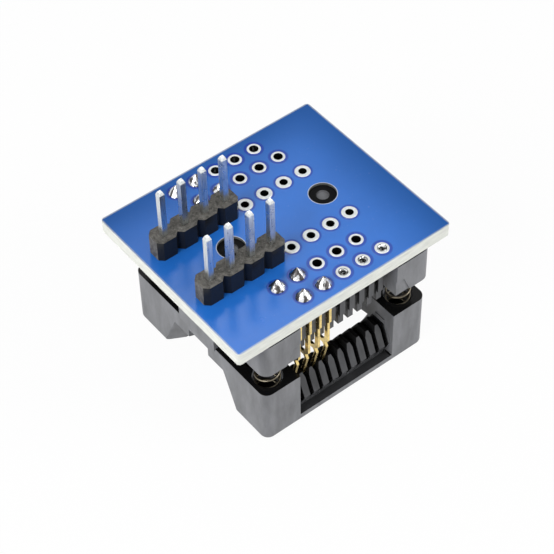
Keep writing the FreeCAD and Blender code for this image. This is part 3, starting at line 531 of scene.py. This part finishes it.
def solder_material(metal, name, fold):
    """Solder that set bright, with ridges down its flank and burnt flux in the folds."""
    material, tree = new_material(name)
    stretched = add_node(tree, VECTOR, (millimetres(tree), (2.8, 2.8, 0.6)), operation="MULTIPLY")
    ridges = add_node(tree, NOISE, {"Vector": stretched, "Scale": 1.0, "Detail": 2.5})
    folds = add_node(tree, RANGE, {
        "Value": ridges, "From Min": 0.47, "From Max": 0.57, "To Max": fold},
        interpolation_type="SMOOTHSTEP")
    tone = add_node(tree, MIX, {
        SHARE: folds, UNDER: opaque(metal.solder), OVER: opaque(metal.flux)}, MIXED,
        data_type="RGBA")
    surface = add_node(tree, "ShaderNodeBsdfPrincipled", {
        "Base Color": tone, "Metallic": 1.0,
        "Roughness": add_node(tree, MATH, (folds, 0.25, 0.2), operation="MULTIPLY_ADD"),
        "Normal": add_node(tree, "ShaderNodeBump", {
            "Height": ridges, "Strength": 0.8, "Distance": 0.07 * MM})})
    add_node(tree, "ShaderNodeOutputMaterial", {"Surface": surface})
    return material


def gold_material(metal):
    """Flash gold over nickel on stamped copper alloy.

    Burnished edges are pale, the sheared faces have fine cloudy tarnish.
    """
    material, tree = new_material("gold flash on stamped alloy")
    cloud = add_node(tree, NOISE, {"Vector": millimetres(tree), "Scale": 1 / 0.4, "Detail": 4.0})
    tarnish = add_node(tree, RANGE, {"Value": cloud, "From Min": 0.45, "From Max": 0.75})
    tone = add_node(tree, MIX, {
        SHARE: tarnish, UNDER: opaque(metal.gold), OVER: opaque(metal.gold, 0.62)}, MIXED,
        data_type="RGBA")
    surface = add_node(tree, "ShaderNodeBsdfPrincipled", {
        "Base Color": tone, "Metallic": 1.0,
        "Roughness": add_node(tree, MATH, (cloud, 0.15, 0.18), operation="MULTIPLY_ADD"),
        "Normal": add_node(tree, "ShaderNodeBump", {
            "Height": cloud, "Strength": 0.4, "Distance": 0.01 * MM,
            "Normal": add_node(tree, "ShaderNodeBevel", (0.04 * MM,), samples=6)})})
    add_node(tree, "ShaderNodeOutputMaterial", {"Surface": surface})
    return material


def dress(node, material):
    """Give a CAD node its finish."""
    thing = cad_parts[node]
    thing.data.materials.clear()
    thing.data.materials.append(material)


def turned(name, profile, segments, closed):
    """Solid of revolution made as by hand: a circle extruded and scaled from ring to ring.

    The profile is a list of radius and height in millimetres. A closed profile comes back to its
    first ring; an open one is filled at both ends.
    """
    bpy.ops.object.select_all(action="DESELECT")
    radius, height = profile[0]
    bpy.ops.mesh.primitive_circle_add(vertices=segments, radius=radius * MM,
                                      location=(0, 0, height * MM))
    piece = bpy.context.object
    piece.name = name
    bpy.ops.object.transform_apply(location=True, rotation=False, scale=False)
    bpy.ops.object.mode_set(mode="EDIT")
    bpy.ops.mesh.select_all(action="SELECT")
    if not closed:
        bpy.ops.mesh.edge_face_add()
        bpy.ops.mesh.select_all(action="SELECT")
    for wider, higher in profile[1:]:
        bpy.ops.mesh.extrude_region_move(
            TRANSFORM_OT_translate={"value": (0, 0, (higher - height) * MM)})
        bpy.ops.transform.resize(value=(wider / radius, wider / radius, 1),
                                 center_override=(0, 0, higher * MM))
        radius, height = wider, higher
    bpy.ops.mesh.select_all(action="SELECT")
    bpy.ops.mesh.remove_doubles(threshold=1e-6)
    bpy.ops.mesh.normals_make_consistent(inside=False)
    bpy.ops.object.mode_set(mode="OBJECT")
    return piece


def copy_to(piece, name, place, turn=0.0, height=1.0):
    """Copy of a piece with its own mesh, turned, stretched upwards and set at a place in millimetres."""
    copy = piece.copy()
    copy.data = piece.data.copy()
    copy.name = name
    bpy.context.scene.collection.objects.link(copy)
    copy.data.transform(Matrix.Diagonal((1.0, 1.0, height, 1.0)))
    copy.data.transform(Matrix.Rotation(turn, 4, "Z"))
    copy.data.transform(Matrix.Translation(Vector(place) * MM))
    return copy


def pick(piece):
    """Make a piece the only one selected, for the operators that follow."""
    bpy.ops.object.select_all(action="DESELECT")
    piece.select_set(True)
    bpy.context.view_layer.objects.active = piece


def roughen(piece, grain, depth):
    """Uneven surface of metal that set on its own, with waves of a grain and depth in millimetres."""
    texture = bpy.data.textures.new(f"{piece.name}_waves", "CLOUDS")
    texture.noise_scale = grain * MM
    wave = piece.modifiers.new("waves", "DISPLACE")
    wave.texture = texture
    wave.strength = depth * MM
    wave.mid_level = 0.6
    pick(piece)
    bpy.ops.object.modifier_apply(modifier=wave.name)


def smooth(piece, degrees):
    """Shade a piece smooth but for edges sharper than an angle."""
    pick(piece)
    bpy.ops.object.shade_smooth_by_angle(angle=math.radians(degrees))


def settle(piece, material):
    """Finish a new piece: its material and its body."""
    piece.data.materials.clear()
    piece.data.materials.append(material)
    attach(piece, BODY)


def empty_holes(rows, filled):
    """Number of the row, step along it and place of every hole without a leg in it."""
    for row, (first, spacing, count, side) in enumerate(rows):
        for step in range(filled, count):
            yield row, step, (first + step * spacing, side, 0.0)


class ADAPTER_OT_board(bpy.types.Operator):
    """Give the board its solder mask and sawn edge"""

    bl_idname = "adapter.board"
    bl_label = "Finish Board"

    def execute(self, context):
        dress("circuit_board", board_material(context.scene.board_finish))
        return {"FINISHED"}


class ADAPTER_OT_rings(bpy.types.Operator):
    """Add the tinned ring and barrel of each empty hole"""

    bl_idname = "adapter.rings"
    bl_label = "Add Plated Holes"

    def execute(self, context):
        finish = context.scene.board_finish
        tin = ring_material(context.scene.metal_finish)
        large = self.ring("header_ring", finish.ring_width, finish.ring_hole, HEADER_BORE)
        small = self.ring("socket_ring", finish.small_ring_width, finish.small_ring_hole, SOCKET_BORE)
        for pattern, rows, filled in ((large, HEADER_ROWS, FILLED_HEADER_HOLES),
                                      (small, SOCKET_ROWS, FILLED_SOCKET_HOLES)):
            for row, step, place in empty_holes(rows, filled):
                ring = copy_to(pattern, f"{pattern.name}_{row + 1}_{step + 1}", place)
                smooth(ring, degrees=50)
                settle(ring, tin)
            bpy.data.objects.remove(pattern, do_unlink=True)
        self.splash(context)
        return {"FINISHED"}

    def ring(self, name, width, hole, bore):
        """Rings on both faces and the barrel between them, in a bore of a radius in millimetres."""
        outer = width / MM / 2
        inner = hole / MM / 2
        top = BOARD_HIGH.z / MM
        bottom = BOARD_LOW.z / MM
        # Section of a ring from its rim to the mouth of the barrel: radius, and height over the board
        section = [
            (outer, 0.0), (outer - 0.03, 0.035), (outer - 0.1, 0.05),
            (inner + 0.06, 0.05), (inner + 0.015, 0.03), (inner, -0.04),
        ]
        # The barrel's outside lies just inside the laminate
        wall = bore + 0.01
        upper = [(radius, top + rise) for radius, rise in section]
        lower = [(radius, bottom - rise) for radius, rise in reversed(section)]
        return turned(name, [*upper, *lower, (wall, bottom), (wall, top), (outer, top)],
                      segments=40, closed=True)

    def splash(self, context):
        """Torn collars of solder in the outer holes of the front row."""
        bright = solder_material(context.scene.metal_finish, "splashed solder", fold=0.85)
        top = BOARD_HIGH.z / MM
        # Section of a collar: the wall of the barrel, the lip over the ring, the throat and the tail
        collar = turned("splash", [
            (0.49, top + 0.03), (0.42, top + 0.08), (0.3, top - 0.06), (0.24, top - 0.35),
            (0.32, top - 0.6), (0.49, top - 0.75), (0.49, top + 0.03),
        ], segments=28, closed=True)
        for row, step, place in empty_holes(SOCKET_ROWS, FILLED_SOCKET_HOLES):
            if row == SPLASHED_ROW:
                piece = copy_to(collar, f"splash_{step + 1}", place, turn=2.1 * step)
                roughen(piece, grain=0.22, depth=0.2)
                smooth(piece, degrees=60)
                settle(piece, bright)
        bpy.data.objects.remove(collar, do_unlink=True)


class ADAPTER_OT_solder(bpy.types.Operator):
    """Replace the plain cones on the contacts' legs with pointed heaps of solder"""

    bl_idname = "adapter.solder"
    bl_label = "Add Solder"

    def execute(self, context):
        metal = solder_material(context.scene.metal_finish, "bright solder", fold=0.92)
        # Half section of a heap: rim on the pad, flank that the molten solder drew up, and point
        heap = turned("solder", [
            (0.84, 0.0), (0.86, 0.035), (0.84, 0.08), (0.77, 0.19), (0.665, 0.34), (0.55, 0.5),
            (0.435, 0.66), (0.32, 0.82), (0.21, 0.97), (0.12, 1.08), (0.04, 1.14),
        ], segments=36, closed=False)
        # A fixed seed, so that every build gives the same heaps
        chance = random.Random(7)
        for node in sorted(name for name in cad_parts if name.startswith("contact_solder")):
            low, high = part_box(node)
            middle = (low + high) / 2 / MM
            piece = copy_to(heap, node.replace("contact_solder", "solder_heap"),
                            (middle.x, middle.y, low.z / MM), turn=chance.uniform(0, 6),
                            height=chance.uniform(0.93, 1.0))
            roughen(piece, grain=chance.uniform(0.25, 0.4), depth=0.05)
            smooth(piece, degrees=60)
            settle(piece, metal)
            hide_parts(node)
        bpy.data.objects.remove(heap, do_unlink=True)
        return {"FINISHED"}


class ADAPTER_OT_headers(bpy.types.Operator):
    """Finish the header strips, their pins and the solder under the board"""

    bl_idname = "adapter.headers"
    bl_label = "Finish Headers"

    def execute(self, context):
        metal = context.scene.metal_finish
        finishes = {
            "header_housing": header_material(context.scene.plastic_finish),
            "header_pin": drawn_material("drawn tinned pin", metal.tin, roughness=0.22),
            "header_solder": solder_material(metal, "dull solder", fold=0.5),
        }
        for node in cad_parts:
            for start, material in finishes.items():
                if node.startswith(start):
                    dress(node, material)
        return {"FINISHED"}


class ADAPTER_OT_contacts(bpy.types.Operator):
    """Give the eight stamped contacts their gold"""

    bl_idname = "adapter.contacts"
    bl_label = "Finish Contacts"

    def execute(self, context):
        gold = gold_material(context.scene.metal_finish)
        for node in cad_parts:
            if node.startswith("contact_") and "solder" not in node:
                dress(node, gold)
        return {"FINISHED"}


class ADAPTER_OT_socket(bpy.types.Operator):
    """Finish the socket's base and its press-down cover"""

    bl_idname = "adapter.socket"
    bl_label = "Finish Socket"

    def execute(self, context):
        plastic = socket_material(context.scene.plastic_finish)
        dress("socket_base", plastic)
        dress("socket_cover", plastic)
        return {"FINISHED"}


class ADAPTER_OT_springs(bpy.types.Operator):
    """Wind the four springs from round wire"""

    bl_idname = "adapter.springs"
    bl_label = "Wind Springs"

    def execute(self, context):
        metal = context.scene.metal_finish
        steel = drawn_material("drawn spring steel", metal.steel, roughness=0.26)
        for node in sorted(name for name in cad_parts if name.startswith("spring_")):
            low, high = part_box(node)
            coil = self.wind(node.replace("spring", "coil"), low, high, metal)
            smooth(coil, degrees=60)
            settle(coil, steel)
            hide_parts(node)
            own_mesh(coil)
        return {"FINISHED"}

    def wind(self, name, low, high, metal):
        """Round wire wound between the lowest and highest corner of a spring."""
        radius = (high.x - low.x - metal.wire) / 2
        bpy.ops.object.select_all(action="DESELECT")
        bpy.ops.mesh.primitive_circle_add(vertices=10, radius=metal.wire / 2, fill_type="NGON",
                                          location=(radius, 0, 0), rotation=(math.pi / 2, 0, 0))
        coil = bpy.context.object
        coil.name = name
        bpy.ops.object.transform_apply(location=True, rotation=True, scale=True)
        screw = coil.modifiers.new("turns", "SCREW")
        screw.angle = 2 * math.pi
        screw.screw_offset = (high.z - low.z - metal.wire) / metal.turns
        screw.iterations = metal.turns
        screw.steps = screw.render_steps = 28
        bpy.ops.object.modifier_apply(modifier=screw.name)
        coil.data.transform(Matrix.Translation(
            ((low.x + high.x) / 2, (low.y + high.y) / 2, low.z + metal.wire / 2)))
        bpy.ops.object.mode_set(mode="EDIT")
        bpy.ops.mesh.select_all(action="SELECT")
        bpy.ops.mesh.normals_make_consistent(inside=False)
        bpy.ops.object.mode_set(mode="OBJECT")
        return coil


class ADAPTER_OT_stage(bpy.types.Operator):
    """Set the floor, the lamps, the studio walls and the camera"""

    bl_idname = "adapter.stage"
    bl_label = "Set Stage"

    def execute(self, context):
        scene = context.scene
        settings = scene.stage_settings
        self.add_floor()
        self.add_walls(scene, settings)
        self.add_lamp("key lamp", (-0.31, -0.05, 0.22), size=0.2, power=settings.key)
        self.add_lamp("fill lamp", (0.25, -0.26, 0.16), size=0.2, power=settings.fill)
        self.add_lamp("sheen lamp", (0.165, 0.235, 0.42), size=0.06, power=settings.sheen)
        camera = bpy.data.cameras.new("camera")
        camera.lens = settings.lens
        camera.sensor_width = 36.0
        camera.clip_start = 0.005
        view = bpy.data.objects.new("camera", camera)
        view.location = settings.camera_place
        view.rotation_euler = settings.camera_turn
        scene.collection.objects.link(view)
        scene.camera = view
        scene.view_settings.view_transform = "Standard"
        return {"FINISHED"}

    def add_floor(self):
        """Paper with a faint grain, which the camera and mirrors see nearly white."""
        bpy.ops.object.select_all(action="DESELECT")
        # A hair under the cover's face, so that the two don't share a plane
        bpy.ops.mesh.primitive_plane_add(size=1.6, location=(0, 0, -0.02 * MM))
        floor = bpy.context.object
        floor.name = "floor"
        bpy.ops.object.transform_apply(location=True, rotation=False, scale=False)
        material, tree = new_material("white paper")
        grain = add_node(tree, NOISE, {"Vector": millimetres(tree), "Scale": 1 / 3})
        tone = add_node(tree, MIX, {
            SHARE: grain, UNDER: opaque(linear("#F4F4F4")), OVER: opaque(linear("#F1F1F1"))}, MIXED,
            data_type="RGBA")
        paper = add_node(tree, "ShaderNodeBsdfDiffuse", {"Color": tone})
        glow = add_node(tree, "ShaderNodeEmission", {"Strength": 1.0})
        seen = add_node(tree, "ShaderNodeLightPath", out="Is Camera Ray")
        mirrored = add_node(tree, "ShaderNodeLightPath", out="Is Glossy Ray")
        either = add_node(tree, MATH, (seen, mirrored), operation="MAXIMUM")
        share = add_node(tree, MATH, (either, 0.95), operation="MULTIPLY")
        mixed = add_node(tree, "ShaderNodeMixShader", (share, paper, glow))
        add_node(tree, "ShaderNodeOutputMaterial", {"Surface": mixed})
        floor.data.materials.append(material)

    def add_walls(self, scene, settings):
        """Pale walls that darken towards the ceiling; the camera and mirrors see plain white."""
        world = bpy.data.worlds.new("studio")
        world.use_nodes = True
        tree = world.node_tree
        tree.nodes.clear()
        way = add_node(tree, "ShaderNodeTexCoord", out="Generated")
        height = add_node(tree, SPLIT, (way,), "Z")
        level = add_node(tree, RANGE, {
            "Value": height, "From Min": 0.1, "From Max": 0.75, "To Min": settings.sky_low,
            "To Max": settings.sky_high}, interpolation_type="SMOOTHSTEP")
        # The tent is open on the side where the camera stands
        towards = add_node(tree, VECTOR, (way, (-0.61, -0.79, 0.0)), "Value", operation="DOT_PRODUCT")
        gap = add_node(tree, RANGE, {
            "Value": towards, "From Min": 0.6, "From Max": 0.95, "To Min": 1.0, "To Max": 0.3},
            interpolation_type="SMOOTHSTEP")
        white = (1.0, 1.0, 1.0, 1.0)
        walls = add_node(tree, "ShaderNodeBackground", {
            "Color": white, "Strength": add_node(tree, MATH, (level, gap), operation="MULTIPLY")})
        plain = add_node(tree, "ShaderNodeBackground", {"Color": white, "Strength": 1.0})
        seen = add_node(tree, "ShaderNodeLightPath", out="Is Camera Ray")
        mirrored = add_node(tree, MATH, (
            seen, seen.node.outputs["Is Glossy Ray"]), operation="MAXIMUM")
        clear = add_node(tree, MATH, (
            mirrored, seen.node.outputs["Is Transmission Ray"]), operation="MAXIMUM")
        mixed = add_node(tree, "ShaderNodeMixShader", (clear, walls, plain))
        add_node(tree, "ShaderNodeOutputWorld", {"Surface": mixed})
        scene.world = world

    def add_lamp(self, name, place, size, power):
        """Square soft box that looks at the object, with its place and size in metres."""
        lamp = bpy.data.lights.new(name, "AREA")
        lamp.shape = "SQUARE"
        lamp.size = size
        lamp.energy = power
        stand = bpy.data.objects.new(name, lamp)
        stand.location = place
        aim = Vector((0, 0, 10 * MM)) - Vector(place)
        stand.rotation_euler = aim.to_track_quat("-Z", "Y").to_euler()
        bpy.context.scene.collection.objects.link(stand)


OPERATORS = (ADAPTER_OT_board, ADAPTER_OT_rings, ADAPTER_OT_solder, ADAPTER_OT_headers,
             ADAPTER_OT_contacts, ADAPTER_OT_socket, ADAPTER_OT_springs, ADAPTER_OT_stage)
GROUPS = {"board_finish": BoardFinish, "plastic_finish": PlasticFinish,
          "metal_finish": MetalFinish, "stage_settings": StageSettings}


class ADAPTER_PT_panel(bpy.types.Panel):
    """Steps and settings of the adapter"""

    bl_idname = "ADAPTER_PT_panel"
    bl_label = "Programming Adapter"
    bl_space_type = "VIEW_3D"
    bl_region_type = "UI"
    bl_category = "Adapter"

    def draw(self, context):
        column = self.layout.column()
        for operator in OPERATORS:
            column.operator(operator.bl_idname)
        for name in GROUPS:
            settings = getattr(context.scene, name)
            for field in settings.bl_rna.properties:
                if field.identifier not in ("rna_type", "name"):
                    column.prop(settings, field.identifier)


def register():
    """Add the settings, the operators and the panel."""
    for kind in (*GROUPS.values(), *OPERATORS, ADAPTER_PT_panel):
        bpy.utils.register_class(kind)
    for name, kind in GROUPS.items():
        setattr(bpy.types.Scene, name, bpy.props.PointerProperty(type=kind))


def unregister():
    """Take away what register added."""
    for name in GROUPS:
        delattr(bpy.types.Scene, name)
    for kind in reversed((*GROUPS.values(), *OPERATORS, ADAPTER_PT_panel)):
        bpy.utils.unregister_class(kind)


def main():
    """Finish and add every piece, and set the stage."""
    register()
    bpy.ops.adapter.board()
    bpy.ops.adapter.rings()
    bpy.ops.adapter.solder()
    bpy.ops.adapter.headers()
    bpy.ops.adapter.contacts()
    bpy.ops.adapter.socket()
    bpy.ops.adapter.springs()
    bpy.ops.adapter.stage()


if __name__ == "__main__":
    main()
